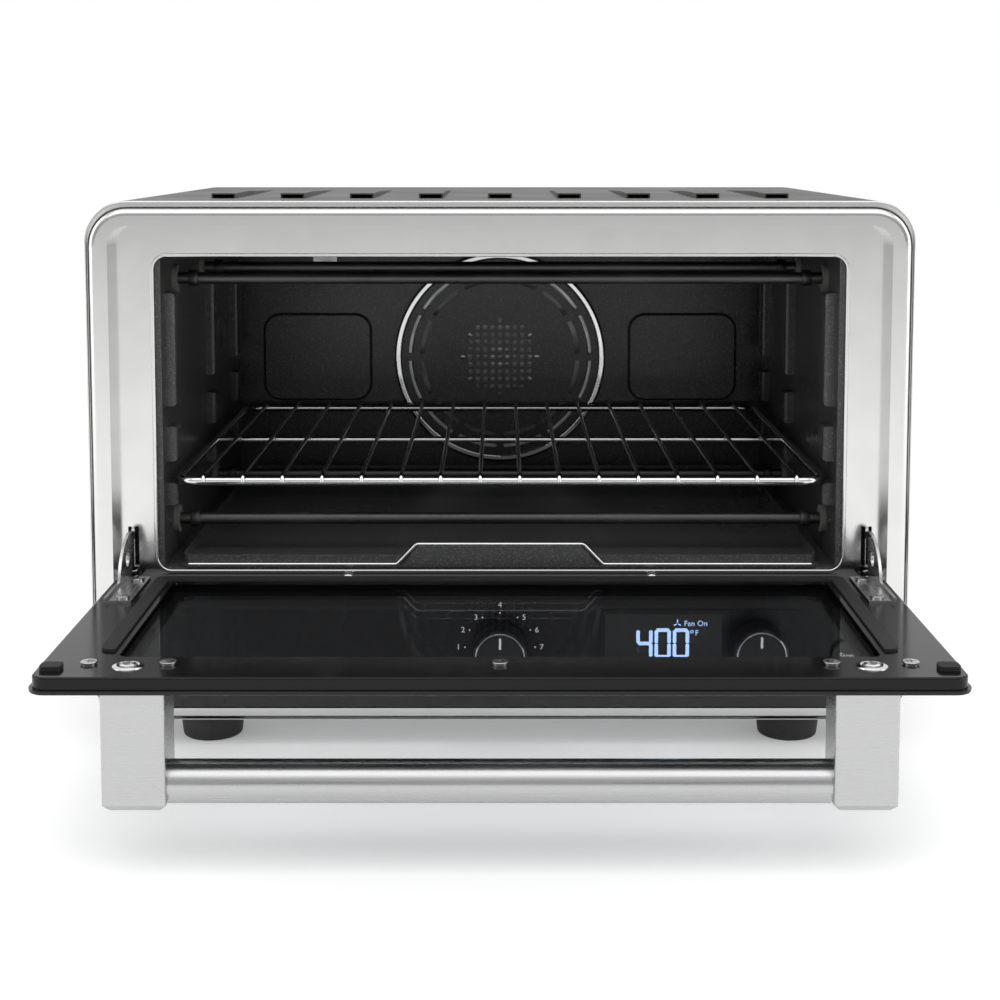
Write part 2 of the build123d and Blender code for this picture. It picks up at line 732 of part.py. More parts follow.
with BuildPart() as door_outer_panel:
    level_plate((-door_half, door_half), door_span, (door_bottom, panel_under), 8)
    fillet(door_outer_panel.faces().sort_by(Axis.Z)[0].edges(), 1)
    level_plate(
        (-window_frame_half, window_frame_half),
        (-142, -20),
        (door_bottom - 1, panel_under + 1),
        6,
        Mode.SUBTRACT,
    )
    for bolt_x, bolt_y in bolt_places:
        rod_upright(bolt_x, bolt_y, 2.1, (door_bottom - 1, panel_under + 1), Mode.SUBTRACT)
keep(door_outer_panel, "door_outer_panel")

with BuildPart() as door_inner_panel:
    level_plate((1.5 - door_half, door_half - 1.5), (-174.8, -2), (panel_under, door_top), 7)
    fillet(door_inner_panel.faces().sort_by(Axis.Z)[-1].edges(), 1)
    level_plate((4 - door_half, door_half - 4), (-172.5, -4), (panel_under - 1, inner_skin), 5, Mode.SUBTRACT)
    level_plate((-window_half, window_half), window_span, (inner_skin - 1, door_top + 1), 4, Mode.SUBTRACT)
    for post_x, post_y in screw_places:
        rod_upright(post_x, post_y, 3.5, (panel_under, inner_skin))
    for post_x, post_y in bolt_places:
        rod_upright(post_x, post_y, 5, (panel_under, inner_skin))
        rod_upright(post_x, post_y, 2.1, (panel_under - 1, door_top + 1), Mode.SUBTRACT)
    for arm_y in arm_screw_depths:
        for side in (-1, 1):
            rod_upright(side * 189, arm_y, 3.2, (panel_under, inner_skin))
            rod_upright(side * 189, arm_y, 1.5, (panel_under + 1, door_top + 1), Mode.SUBTRACT)
    for post_x, post_y in screw_places:
        rod_upright(post_x, post_y, 1.5, (panel_under + 1, door_top + 1), Mode.SUBTRACT)
keep(door_inner_panel, "door_inner_panel")

with BuildPart() as outer_glass:
    level_plate((-175, 175), (-148, -12), (panel_under, panel_under + 1.8), 5)
keep(outer_glass, "outer_glass")

with BuildPart() as inner_glass:
    level_plate((-175, 175), (-149, -8.5), (inner_skin - 2, inner_skin), 5)
keep(inner_glass, "inner_glass")

gasket_outer = 180.5
gasket_top = door_top + 1.2
with BuildPart() as door_gasket:
    level_plate((-gasket_outer, gasket_outer), (-137, -5), (door_top, gasket_top), 5)
    gasket_inner = gasket_outer - 7
    gasket_cut = (door_top - 1, gasket_top + 1)
    level_plate((-gasket_inner, gasket_inner), (-150, -12), gasket_cut, 2, Mode.SUBTRACT)
keep(door_gasket, "door_gasket")

with BuildPart() as door_bumpers:
    for side in (-1, 1):
        bumper = sorted((side * 191, side * 200.5))
        level_plate(bumper, (-166, -158), (door_top, door_top + 2), 2)
keep(door_bumpers, "door_bumpers")

with BuildPart() as door_screws:
    for screw_x, screw_y in screw_places:
        rod_upright(screw_x, screw_y, 1.5, (panel_under + 1, door_top))
        rod_upright(screw_x, screw_y, 3.2, (door_top, door_top + 0.9))
keep(door_screws, "door_screws")

with BuildPart() as hinge_arm_screws:
    for side in (-1, 1):
        for screw_y in arm_screw_depths:
            rod_upright(side * 189, screw_y, 1.5, (panel_under + 1, door_top + 1.2))
            rod_upright(side * 189, screw_y, 3, (door_top + 1.2, door_top + 2.1))
keep(hinge_arm_screws, "hinge_arm_screws")

bolt_end = 70.0
with BuildPart() as handle_bolts:
    for bolt_x, bolt_y in bolt_places:
        rod_upright(bolt_x, bolt_y, 2.1, (bolt_end, door_top))
        rod_upright(bolt_x, bolt_y, 4, (door_top, door_top + 1))
keep(handle_bolts, "handle_bolts")


def handle_post(side):
    """One handle leg, square to the door, with a chamfered end."""
    post_x = (side * handle_x - post_half, side * handle_x + post_half)
    with BuildPart() as post:
        block(post_x, (handle_y - 11.5, handle_y + 11.5), (handle_z - 10, door_bottom))
        chamfer(post.faces().sort_by(Axis.Z)[0].edges(), 3)
        fillet(post.edges().filter_by(Axis.Z), 1.2)
        rod_upright(side * 163, bolt_places[0][1], 2.1, (bolt_end, door_bottom + 1), Mode.SUBTRACT)
    return post


keep(handle_post(-1), "left_handle_post")
keep(handle_post(1), "right_handle_post")

with BuildPart() as handle_bar:
    rod_across(handle_y, handle_z, handle_radius, (post_half - handle_x, handle_x - post_half))
keep(handle_bar, "handle_bar")

# ---------------------------------------------------------------- rack and tray

cross_wire_z = rack_z + 3.4
with BuildPart() as wire_rack:
    for bar_y, bar_radius in ((rack_front + 2.5, 2.5), (rack_rear - 2, 2)):
        rod_across(bar_y, rack_z, bar_radius, (-rack_half, rack_half))
    rod_across(150, rack_z + 0.2, 1.8, (-rack_half, rack_half))
    for side in (-1, 1):
        rod_along_depth(side * rack_half, rack_z, 2, (rack_front + 0.5, rack_rear))
    for i in range(cross_wires):
        wire_x = (i - (cross_wires - 1) / 2) * cross_pitch
        rod_along_depth(wire_x, cross_wire_z, 1.5, (rack_front + 1, rack_rear))
keep(wire_rack, "wire_rack")

tray_sheet = 0.8
with BuildPart() as crumb_tray:
    tray_span = (cavity_front_y + 1, 272)
    level_plate((-tray_half, tray_half), tray_span, (tray_z, tray_z + 6), 8)
    level_plate(
        (tray_sheet - tray_half, tray_half - tray_sheet),
        (tray_span[0] + tray_sheet, 272 - tray_sheet),
        (tray_z + tray_sheet, tray_z + 7),
        7,
        Mode.SUBTRACT,
    )
    level_plate((-tray_half, tray_half), (10.6, 22), (tray_z, tray_z + tray_sheet), 5)
    with BuildSketch(facing(10.6)):
        with BuildLine():
            Polyline(
                (-53.5, tray_z), (53.5, tray_z), (43, tray_z + 12), (-43, tray_z + 12), close=True
            )
        make_face()
    extrude(amount=-1)
keep(crumb_tray, "crumb_tray")
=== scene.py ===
"""A countertop toaster oven with its door open: finishes, small parts, light and camera."""

import json
import math

import bpy
from bpy.props import FloatProperty, IntProperty, PointerProperty, StringProperty
from mathutils import Matrix, Vector


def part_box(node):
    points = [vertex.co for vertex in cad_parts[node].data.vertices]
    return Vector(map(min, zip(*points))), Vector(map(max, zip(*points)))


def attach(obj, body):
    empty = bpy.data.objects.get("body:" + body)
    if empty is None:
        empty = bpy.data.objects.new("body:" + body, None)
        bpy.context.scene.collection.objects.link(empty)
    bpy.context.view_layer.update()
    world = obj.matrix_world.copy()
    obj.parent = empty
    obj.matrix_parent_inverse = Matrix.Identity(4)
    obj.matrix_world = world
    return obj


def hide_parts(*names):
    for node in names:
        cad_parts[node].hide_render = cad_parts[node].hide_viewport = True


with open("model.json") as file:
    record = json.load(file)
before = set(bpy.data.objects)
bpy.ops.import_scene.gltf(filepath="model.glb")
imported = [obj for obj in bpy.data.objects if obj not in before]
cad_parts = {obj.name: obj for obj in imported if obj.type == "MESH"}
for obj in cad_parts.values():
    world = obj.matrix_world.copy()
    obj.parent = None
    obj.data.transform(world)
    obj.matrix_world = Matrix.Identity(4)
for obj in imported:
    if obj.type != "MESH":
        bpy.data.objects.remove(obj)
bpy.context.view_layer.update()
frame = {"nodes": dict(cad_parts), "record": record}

bl_info = {
    "name": "Toaster Oven",
    "version": (1, 0, 0),
    "blender": (4, 5, 0),
    "location": "View3D > Sidebar > Toaster Oven",
    "description": "Finishes and small parts of a toaster oven with a drop-down door",
    "category": "Object",
}

MM = 0.001


# ---------------------------------------------------------------- shader tools


class Sock:
    """A shader socket that takes part in arithmetic."""

    def __init__(self, paint, socket):
        self.paint = paint
        self.socket = socket

    def _math(self, operation, first, second):
        return self.paint.add("Math", {"operation": operation}, {0: first, 1: second})

    def __add__(self, other):
        return self._math("ADD", self, other)

    def __sub__(self, other):
        return self._math("SUBTRACT", self, other)

    def __rsub__(self, other):
        return self._math("SUBTRACT", other, self)

    def __mul__(self, other):
        return self._math("MULTIPLY", self, other)

    def __gt__(self, other):
        return self._math("GREATER_THAN", self, other)

    __radd__ = __add__
    __rmul__ = __mul__


class Paint:
    """One material while it is being mixed."""

    def __init__(self, name):
        self.material = bpy.data.materials.new(name)
        self.material.use_nodes = True
        self.tree = self.material.node_tree
        self.tree.nodes.clear()

    def add(self, kind, settings=None, inputs=None, out=0):
        """Add a node, set its own settings, then fill or link its inputs."""
        node = self.tree.nodes.new("ShaderNode" + kind)
        for key, value in (settings or {}).items():
            setattr(node, key, value)
        for key, value in (inputs or {}).items():
            if isinstance(value, Sock):
                self.tree.links.new(value.socket, node.inputs[key])
            else:
                colour = node.inputs[key].type == "RGBA" and len(value) == 3
                node.inputs[key].default_value = rgba(value) if colour else value
        return Sock(self, node.outputs[out])

    def place(self, stretch=(1, 1, 1)):
        """Object coordinates, scaled along each axis."""
        spot = self.add("TexCoord", out="Object")
        return self.add("Mapping", inputs={"Vector": spot, "Scale": stretch})

    def noise(self, scale, stretch=(1, 1, 1), detail=3.0):
        """Soft random values about one half."""
        inputs = {"Vector": self.place(stretch), "Scale": scale, "Detail": detail}
        return self.add("TexNoise", inputs=inputs)

    def cells(self, scale, out="Distance"):
        """Distance to, or colour of, scattered cells."""
        return self.add("TexVoronoi", inputs={"Vector": self.place(), "Scale": scale}, out=out)

    def blend(self, amount, first, second):
        """A colour between two, by an amount from 0 to 1."""
        settings = {"data_type": "RGBA"}
        return self.add("Mix", settings, {"Factor": amount, 6: rgba(first), 7: rgba(second)}, out=2)

    def spread(self, value, low, high):
        """Stretch the middle of a noise over low to high."""
        inputs = {"Value": value, 1: 0.3, 2: 0.7, 3: low, 4: high}
        return self.add("MapRange", inputs=inputs)

    def bump(self, height, strength, distance=0.0002):
        """A surface normal disturbed by a height."""
        inputs = {"Strength": strength, "Distance": distance, "Height": height}
        return self.add("Bump", inputs=inputs)

    def finish(self, **inputs):
        """Close the material with a principled surface."""
        named = {
            key.replace("_", " ").title().replace("Ior", "IOR"): value
            for key, value in inputs.items()
        }
        shader = self.add("BsdfPrincipled", inputs=named)
        self.show(shader)
        return self.material

    def show(self, shader):
        """Join a shader to the material's output."""
        output = self.tree.nodes.new("ShaderNodeOutputMaterial")
        self.tree.links.new(shader.socket, output.inputs["Surface"])


def rgba(colour):
    """A colour with its alpha, or a link as it is."""
    return colour if isinstance(colour, Sock) else (*colour, 1.0)


def grey(value):
    """A neutral colour."""
    return (value, value, value)


def brushed(name, colour, rough, grain, depth=0.12, fineness=900.0):
    """Metal with fine straight lines; grain is the axis that the lines run along."""
    paint = Paint(name)
    stretch = tuple(0.012 if axis == grain else 1.0 for axis in "XYZ")
    lines = paint.noise(fineness, stretch, 4.0)
    cloud = paint.noise(14.0)
    tone = paint.spread(lines, 0.0, 1.0)
    shade = paint.blend(tone, tuple(0.95 * c for c in colour), colour)
    roughness = paint.spread(lines, rough * 0.85, rough * 1.2) + (cloud - 0.5) * 0.06
    normal = paint.bump(lines, depth)
    return paint.finish(base_color=shade, metallic=1.0, roughness=roughness, normal=normal)


def polished(name, colour, rough):
    """Bright metal with faint handling marks."""
    paint = Paint(name)
    cloud = paint.noise(55.0, detail=6.0)
    fine = paint.noise(1600.0)
    shade = paint.blend(cloud, colour, tuple(0.93 * c for c in colour))
    roughness = paint.spread(cloud, rough * 0.9, rough * 1.15)
    normal = paint.bump(fine, 0.008)
    return paint.finish(base_color=shade, metallic=1.0, roughness=roughness, normal=normal)


def coated(name, colour, rough, grit=1400.0, depth=0.25, patch=0.12, shine=0.5):
    """Paint or moulding with a fine grainy skin and slight patches of tone."""
    paint = Paint(name)
    grain = paint.noise(grit, detail=2.0)
    cloud = paint.noise(18.0, detail=5.0)
    darker = tuple(c * (1 - patch) for c in colour)
    lighter = tuple(c * (1 + patch) for c in colour)
    shade = paint.blend(cloud, darker, lighter)
    roughness = paint.spread(cloud, rough * 0.88, rough * 1.12)
    normal = paint.bump(grain, depth)
    return paint.finish(
        base_color=shade, roughness=roughness, normal=normal, specular_ior_level=shine
    )


# ---------------------------------------------------------------- the oven's own finishes


def enamel(name, base):
    """Baked enamel: dark, half glossy, with fine pale specks and a slight orange peel."""
    paint = Paint(name)
    specks = paint.cells(2600.0, "Color")
    rare = paint.add("SeparateColor", inputs={"Color": specks}) > 0.93
    cloud = paint.noise(9.0, detail=4.0)
    ground = paint.blend(cloud, tuple(0.8 * c for c in base), tuple(1.25 * c for c in base))
    shade = paint.blend(rare * 0.35, ground, grey(0.35))
    roughness = paint.spread(cloud, 0.26, 0.36)
    normal = paint.bump(paint.noise(420.0, detail=1.0), 0.18, 0.0003)
    return paint.finish(
        base_color=shade, roughness=roughness, normal=normal, specular_ior_level=0.45
    )


def spangled(name, base):
    """Zinc-coated sheet with its crystal pattern."""
    paint = Paint(name)
    crystals = paint.cells(110.0, "Color")
    tone = paint.add("SeparateColor", inputs={"Color": crystals})
    shade = paint.blend(tone, tuple(0.82 * c for c in base), tuple(1.12 * c for c in base))
    roughness = tone * 0.18 + 0.36
    normal = paint.bump(tone, 0.06)
    return paint.finish(base_color=shade, metallic=1.0, roughness=roughness, normal=normal)


def smoked_glass(name):
    """A flat heat-proof pane: clear, faintly grey, reflecting at low angles."""
    paint = Paint(name)
    smear = paint.noise(7.0, detail=6.0)
    clear = paint.add("BsdfTransparent", inputs={"Color": (0.965, 0.97, 0.975, 1)})
    roughness = paint.spread(smear, 0.012, 0.03)
    gloss = paint.add(
        "BsdfPrincipled",
        inputs={"Base Color": (0.004, 0.004, 0.005, 1), "Roughness": roughness, "IOR": 1.52},
    )
    edge = paint.add("Fresnel", inputs={"IOR": 1.5})
    film = paint.spread(smear, 0.003, 0.012)
    amount = edge * 0.3 + film
    paint.show(paint.add("MixShader", inputs={"Fac": amount, 1: clear, 2: gloss}))
    return paint.material


def rubber(name, base, rough=0.72):
    """Matt moulded rubber."""
    return coated(name, base, rough, grit=900.0, depth=0.35, patch=0.2)


def fibre(name, base):
    """Glass wool: crossed fibres in a matted pad."""
    paint = Paint(name)
    along = paint.noise(260.0, (1, 0.08, 1), 5.0)
    across = paint.noise(260.0, (0.08, 1, 1), 5.0)
    mat = along * 0.5 + across * 0.5
    shade = paint.blend(mat, tuple(0.62 * c for c in base), tuple(1.15 * c for c in base))
    normal = paint.bump(mat, 0.9, 0.002)
    return paint.finish(base_color=shade, roughness=paint.spread(mat, 0.82, 0.95), normal=normal)


def laminate(name, base):
    """Circuit board with traces under the varnish."""
    paint = Paint(name)
    traces = paint.add(
        "TexBrick", inputs={"Vector": paint.place(), "Scale": 260.0, "Mortar Size": 0.06}, out="Fac"
    )
    shade = paint.blend(traces, base, tuple(min(1.0, 2.2 * c) for c in base))
    cloud = paint.noise(60.0)
    return paint.finish(base_color=shade, roughness=paint.spread(cloud, 0.28, 0.42))


def unglazed(name, base):
    """Bare ceramic with a chalky skin."""
    return coated(name, base, 0.7, grit=700.0, depth=0.4, patch=0.08)


def glowing(name, colour, strength):
    """A surface that emits light, slightly uneven like a backlit display; the printed marks use it too, as
    painted light on print that has no lamp behind it.
    """
    paint = Paint(name)
    cloud = paint.noise(400.0)
    shade = paint.blend(cloud, tuple(0.85 * c for c in colour), colour)
    return paint.finish(
        base_color=grey(0.02), emission_color=shade, emission_strength=strength, roughness=0.4
    )


def heating_sheath(name):
    """Tube sheath darkened by heat in soft bands."""
    paint = Paint(name)
    bands = paint.noise(22.0, (1, 0.05, 0.05), 4.0)
    fine = paint.noise(1300.0, (0.1, 1, 1))
    shade = paint.blend(bands, grey(0.06), grey(0.13))
    roughness = paint.spread(bands, 0.36, 0.52)
    return paint.finish(
        base_color=shade, metallic=1.0, roughness=roughness, normal=paint.bump(fine, 0.1)
    )


FINISHES = {
    "housing_paint": lambda: coated("housing_paint", grey(0.030), 0.48, grit=1900.0, depth=0.3),
    "galvanised": lambda: spangled("galvanised", (0.52, 0.53, 0.54)),
    "bezel_steel": lambda: polished("bezel_steel", (0.63, 0.63, 0.625), 0.16),
    "cavity_enamel": lambda: enamel("cavity_enamel", grey(0.035)),
    "bright_chrome": lambda: polished("bright_chrome", (0.66, 0.66, 0.67), 0.13),
    "element_sheath": lambda: heating_sheath("element_sheath"),
    "ceramic": lambda: unglazed("ceramic", (0.14, 0.135, 0.125)),
    "insulation": lambda: fibre("insulation", (0.70, 0.66, 0.50)),
    "probe_steel": lambda: brushed("probe_steel", grey(0.56), 0.3, "Y"),
    "motor_steel": lambda: spangled("motor_steel", grey(0.36)),
    "impeller": lambda: brushed("impeller", grey(0.62), 0.38, "X"),
    "panel_black": lambda: coated(
        "panel_black", grey(0.022), 0.3, grit=2600.0, depth=0.05, patch=0.2, shine=0.35
    ),
    "display_glass": lambda: coated(
        "display_glass", grey(0.022), 0.14, grit=2600.0, depth=0.02, patch=0.1
    ),
    "circuit_board": lambda: laminate("circuit_board", (0.02, 0.11, 0.05)),
    "switch_plastic": lambda: coated("switch_plastic", grey(0.05), 0.5),
    "knob_black": lambda: coated(
        "knob_black", grey(0.022), 0.3, grit=2200.0, depth=0.08, patch=0.15
    ),
    "foot_rubber": lambda: rubber("foot_rubber", grey(0.012), 0.6),
    "screw_steel": lambda: polished("screw_steel", grey(0.52), 0.24),
    "gland_nylon": lambda: coated("gland_nylon", grey(0.02), 0.5),
    "hinge_steel": lambda: brushed("hinge_steel", grey(0.50), 0.26, "Y"),
    "door_outer": lambda: coated(
        "door_outer", grey(0.008), 0.2, grit=2200.0, depth=0.04, shine=0.25
    ),
    "door_inner": lambda: coated(
        "door_inner", grey(0.006), 0.15, grit=2600.0, depth=0.02, patch=0.15, shine=0.18
    ),
    "door_glass": lambda: smoked_glass("door_glass"),
    "seal_rubber": lambda: rubber("seal_rubber", grey(0.006), 0.75),
    "handle_metal": lambda: brushed("handle_metal", (0.46, 0.46, 0.465), 0.27, "X", 0.05, 1500.0),
    "tray_enamel": lambda: enamel("tray_enamel", grey(0.045)),
    # The white print of the marks emits light at strength 1.3: painted light, a glow the print itself has no
    # lamp for.
    "mark_white": lambda: glowing("mark_white", grey(0.90), 1.3),
    "display_light": lambda: glowing("display_light", (0.42, 0.62, 1.0), 3.2),
}
_mixed = {}


def finish_of(name):
    """The finish for a material slot, mixed once."""
    if name not in _mixed:
        _mixed[name] = FINISHES[name]()
    return _mixed[name]


def paint_nodes():
    """Give every node of the frame the finish of its slot."""
    for part in frame["record"]["subparts"]:
        node = frame["nodes"][part["node"]]
        node.data.materials.clear()
        node.data.materials.append(finish_of(part["material_slot"]))


# ---------------------------------------------------------------- modelling tools


def clear_choice():
    """Leave nothing selected."""
    bpy.ops.object.select_all(action="DESELECT")


def editing(mode="VERT"):
    """Enter edit mode on the active object."""
    bpy.ops.object.mode_set(mode="EDIT")
    bpy.ops.mesh.select_mode(type=mode)


def pick(test):
    """Select the vertices of the edited mesh whose place passes a test."""
    bpy.ops.mesh.select_all(action="DESELECT")
    bpy.ops.object.mode_set(mode="OBJECT")
    for vertex in bpy.context.object.data.vertices:
        vertex.select = test(vertex.co)
    bpy.ops.object.mode_set(mode="EDIT")


def outward():
    """Merge doubles and turn every face outwards, then leave edit mode."""
    bpy.ops.mesh.select_all(action="SELECT")
    bpy.ops.mesh.remove_doubles(threshold=1e-6)
    bpy.ops.mesh.normals_make_consistent(inside=False)
    bpy.ops.object.mode_set(mode="OBJECT")


def soften(piece, width, segments=3, angle=30):
    """Round the edges that are sharper than an angle."""
    bevel = piece.modifiers.new("soft_edges", "BEVEL")
    bevel.width = width
    bevel.segments = segments
    bevel.angle_limit = math.radians(angle)
    bpy.context.view_layer.objects.active = piece
    bpy.ops.object.modifier_apply(modifier=bevel.name)


def settle(piece, name, body, slot, at=None, finish=None, smooth=35):
    """Put a finished piece in its place, its object at the origin, give it its finish and hang it on its body.
    """
    piece.name = name
    piece.data.name = name
    if at is not None:
        piece.matrix_world = at @ piece.matrix_world
    clear_choice()
    piece.select_set(True)
    bpy.context.view_layer.objects.active = piece
    bpy.ops.object.transform_apply(location=True, rotation=True, scale=True)
    bpy.ops.object.shade_smooth_by_angle(angle=math.radians(smooth))
    piece.data.materials.clear()
    piece.data.materials.append(finish or finish_of(slot))
    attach(piece, body)
    piece.select_set(False)
    return piece


def copy_of(piece, name):
    """A copy with its own mesh."""
    twin = piece.copy()
    twin.data = piece.data.copy()
    bpy.context.scene.collection.objects.link(twin)
    twin.name = name
    return twin


def lathe(profile, segments=48):
    """A turned solid about Z from (radius, height) steps in millimetres; a profile that ends where
    it began makes a ring, and any other is capped at both ends."""
    closed = profile[0] == profile[-1]
    clear_choice()
    radius, height = (MM * value for value in profile[0])
    bpy.ops.mesh.primitive_circle_add(
        vertices=segments,
        radius=radius,
        fill_type="NOTHING" if closed else "NGON",
        location=(0, 0, height),
    )
    bpy.ops.object.transform_apply(location=True)
    editing("EDGE" if closed else "FACE")
    bpy.ops.mesh.select_all(action="SELECT")
    for step in profile[1:]:
        next_radius, next_height = (MM * value for value in step)
        rise = (0, 0, next_height - height)
        if closed:
            bpy.ops.mesh.extrude_edges_move(TRANSFORM_OT_translate={"value": rise})
        else:
            bpy.ops.mesh.extrude_region_move(TRANSFORM_OT_translate={"value": rise})
        scale = next_radius / radius
        bpy.ops.transform.resize(value=(scale, scale, 1), center_override=(0, 0, next_height))
        radius, height = next_radius, next_height
    outward()
    return bpy.context.object


def block(size, centre=(0, 0, 0), edge=0.0, segments=3):
    """A box with rounded edges."""
    clear_choice()
    bpy.ops.mesh.primitive_cube_add(size=1, location=centre)
    piece = bpy.context.object
    piece.scale = size
    bpy.ops.object.transform_apply(location=True, rotation=True, scale=True)
    if edge:
        soften(piece, edge, segments)
    return piece


def begin_rod(radius, start, sides=16):
    """The first ring of a rod that will run along +Y, left open in edit mode."""
    clear_choice()
    bpy.ops.mesh.primitive_circle_add(
        vertices=sides, radius=radius, fill_type="NGON", location=start, rotation=(math.pi / 2, 0, 0)
    )
    bpy.ops.object.transform_apply(location=True, rotation=True)
    editing("FACE")
    bpy.ops.mesh.select_all(action="SELECT")


def run_rod(step):
    """Carry the rod's open end straight on."""
    bpy.ops.mesh.extrude_region_move(TRANSFORM_OT_translate={"value": step})


def bend_rod(angle, centre, axis, steps=6):
    """Carry the rod's open end round a bend; the angle is right-handed about the axis."""
    bpy.ops.mesh.spin(steps=steps, angle=-angle, center=centre, axis=axis, use_auto_merge=False)


def lettering(text, size, centre, align, depth=0.00005):
    """Upright letters that face forward, made a mesh."""
    clear_choice()
    bpy.ops.object.text_add(location=centre, rotation=(math.pi / 2, 0, 0))
    label = bpy.context.object
    label.data.body = text
    label.data.size = size
    label.data.align_x = align
    label.data.align_y = "CENTER"
    label.data.extrude = depth
    label.data.resolution_u = 3
    bpy.ops.object.convert(target="MESH")
    return bpy.context.object


def repeat(first, name, places, body):
    """Copies of a settled piece at the other places, then the piece itself at the first."""
    for i, place in enumerate(places[1:]):
        twin = copy_of(first, f"{name}_{i + 2:02d}")
        twin.data.transform(Matrix.Translation(place))
        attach(twin, body)
    first.data.transform(Matrix.Translation(places[0]))


def islands(node, outwards):
    """The outermost point of each separate solid of a node, measured along a direction."""
    clear_choice()
    source = frame["nodes"][node]
    twin = bpy.data.objects.new("islands", source.data.copy())
    bpy.context.scene.collection.objects.link(twin)
    twin.select_set(True)
    bpy.context.view_layer.objects.active = twin
    editing()
    bpy.ops.mesh.select_all(action="SELECT")
    bpy.ops.mesh.remove_doubles(threshold=1e-6)
    bpy.ops.mesh.separate(type="LOOSE")
    bpy.ops.object.mode_set(mode="OBJECT")
    points = []
    for piece in list(bpy.context.selected_objects):
        corners = [vertex.co for vertex in piece.data.vertices]
        centre = Vector([(min(c[k] for c in corners) + max(c[k] for c in corners)) / 2 for k in range(3)])
        top = max(corner.dot(outwards) for corner in corners)
        points.append(tuple(centre + outwards * (top - centre.dot(outwards))))
        bpy.data.objects.remove(piece)
    return sorted(points)


def middle(node):
    """The centre of a node's box."""
    low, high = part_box(node)
    return (Vector(low) + Vector(high)) / 2


def toward_front(point):
    """The place of a turned piece whose own Z is to face forward from a point."""
    return Matrix.Translation(point) @ Matrix.Rotation(math.pi / 2, 4, "X")


# ---------------------------------------------------------------- sizes that a user may change


class OvenSizes(bpy.types.PropertyGroup):
    """Sizes, counts and digits of the small parts."""

    rack_wire: FloatProperty(
        name="Rack wire", description="Radius of the rack's cross wires",
        default=0.0012, unit="LENGTH",
    )
    rack_frame: FloatProperty(
        name="Rack frame", description="Radius of the rack's frame wire",
        default=0.0024, unit="LENGTH",
    )
    rack_wires: IntProperty(
        name="Rack wires", description="Number of cross wires", default=16, min=4
    )
    digit_height: FloatProperty(
        name="Digit height", description="Height of the lit digits", default=0.0154, unit="LENGTH"
    )
    digits: StringProperty(name="Digits", description="Number shown on the display", default="400")
    mark_size: FloatProperty(
        name="Mark size", description="Height of the printed marks", default=0.0042, unit="LENGTH"
    )


class StageSizes(bpy.types.PropertyGroup):
    """Camera and floor."""

    camera_distance: FloatProperty(
        name="Camera distance", description="From the bezel to the camera",
        default=0.8928, unit="LENGTH",
    )
    camera_height: FloatProperty(
        name="Camera height", description="Above the floor", default=0.322, unit="LENGTH"
    )
    camera_tilt: FloatProperty(
        name="Camera tilt", description="Downward tilt", default=math.radians(5.16), subtype="ANGLE"
    )
    lens: FloatProperty(name="Lens", description="Focal length in millimetres", default=61.75)
    floor_size: FloatProperty(
        name="Floor size", description="Side of the floor plane", default=14.0, unit="LENGTH"
    )


class PieceOperator:
    """What every operator of this add-on shares."""

    bl_options = {"REGISTER", "UNDO"}

    @property
    def sizes(self):
        return bpy.context.scene.oven_sizes


class OVEN_OT_finishes(PieceOperator, bpy.types.Operator):
    """Paint every node of the frame with the finish of its slot"""

    bl_idname = "oven.finishes"
    bl_label = "Finishes"

    def execute(self, context):
        paint_nodes()
        return {"FINISHED"}


class OVEN_OT_wire_rack(PieceOperator, bpy.types.Operator):
    """Bend the rack's frame from one wire and weld the cross wires on it"""

    bl_idname = "oven.wire_rack"
    bl_label = "Wire rack"

    def execute(self, context):
        low, high = (Vector(corner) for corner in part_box("wire_rack"))
        wire = self.sizes.rack_wire
        thick = self.sizes.rack_frame
        turn = 0.012
        level = low.z + 0.0025
        left, right = low.x + thick, high.x - thick
        front, rear = low.y + thick, high.y - thick
        quarter = math.pi / 2
        begin_rod(thick, (left, front + turn, level), 20)
        run_rod((0, rear - front - 2 * turn, 0))
        bend_rod(-quarter, (left + turn, rear - turn, level), (0, 0, 1))
        run_rod((right - left - 2 * turn, 0, 0))
        bend_rod(-quarter, (right - turn, rear - turn, level), (0, 0, 1))
        run_rod((0, front - rear + 2 * turn, 0))
        bend_rod(-quarter, (right - turn, front + turn, level), (0, 0, 1))
        run_rod((left - right + 2 * turn, 0, 0))
        bend_rod(-quarter, (left + turn, front + turn, level), (0, 0, 1))
        outward()
        ring = settle(bpy.context.object, "rack_frame_wire", "rack", "bright_chrome")
        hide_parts("wire_rack")
        self.cross_bar(left, right, (front + rear) / 2, level)
        self.cross_wires(front, rear, level + thick + 0.7 * wire, wire)
        return {"FINISHED"}

    def cross_bar(self, left, right, middle_y, level):
        """The stiffening bar under the middle of the wires."""
        radius = 0.0018
        begin_rod(radius, (0, 0, 0), 14)
        run_rod((0, right - left, 0))
        outward()
        place = Matrix.Translation((left, middle_y, level + 0.0003)) @ Matrix.Rotation(-math.pi / 2, 4, "Z")
        settle(bpy.context.object, "rack_cross_bar", "rack", "bright_chrome", place)

    def cross_wires(self, front, rear, level, wire):
        """The wires that food lies on, each with its front end bent down over the frame."""
        count = self.sizes.rack_wires
        pitch = 0.0212
        bend = 0.0026
        begin_rod(wire, (0, rear + 0.001, level), 12)
        run_rod((0, front - rear - 0.0012, 0))
        bend_rod(math.radians(72), (0, front - 0.0002, level - bend), (1, 0, 0), 5)
        run_rod((0, -0.0006, -0.0016))
        outward()
        first = settle(bpy.context.object, "rack_wire_01", "rack", "bright_chrome")
        places = [((i - (count - 1) / 2) * pitch, 0, 0) for i in range(count)]
        repeat(first, "rack_wire", places, "rack")


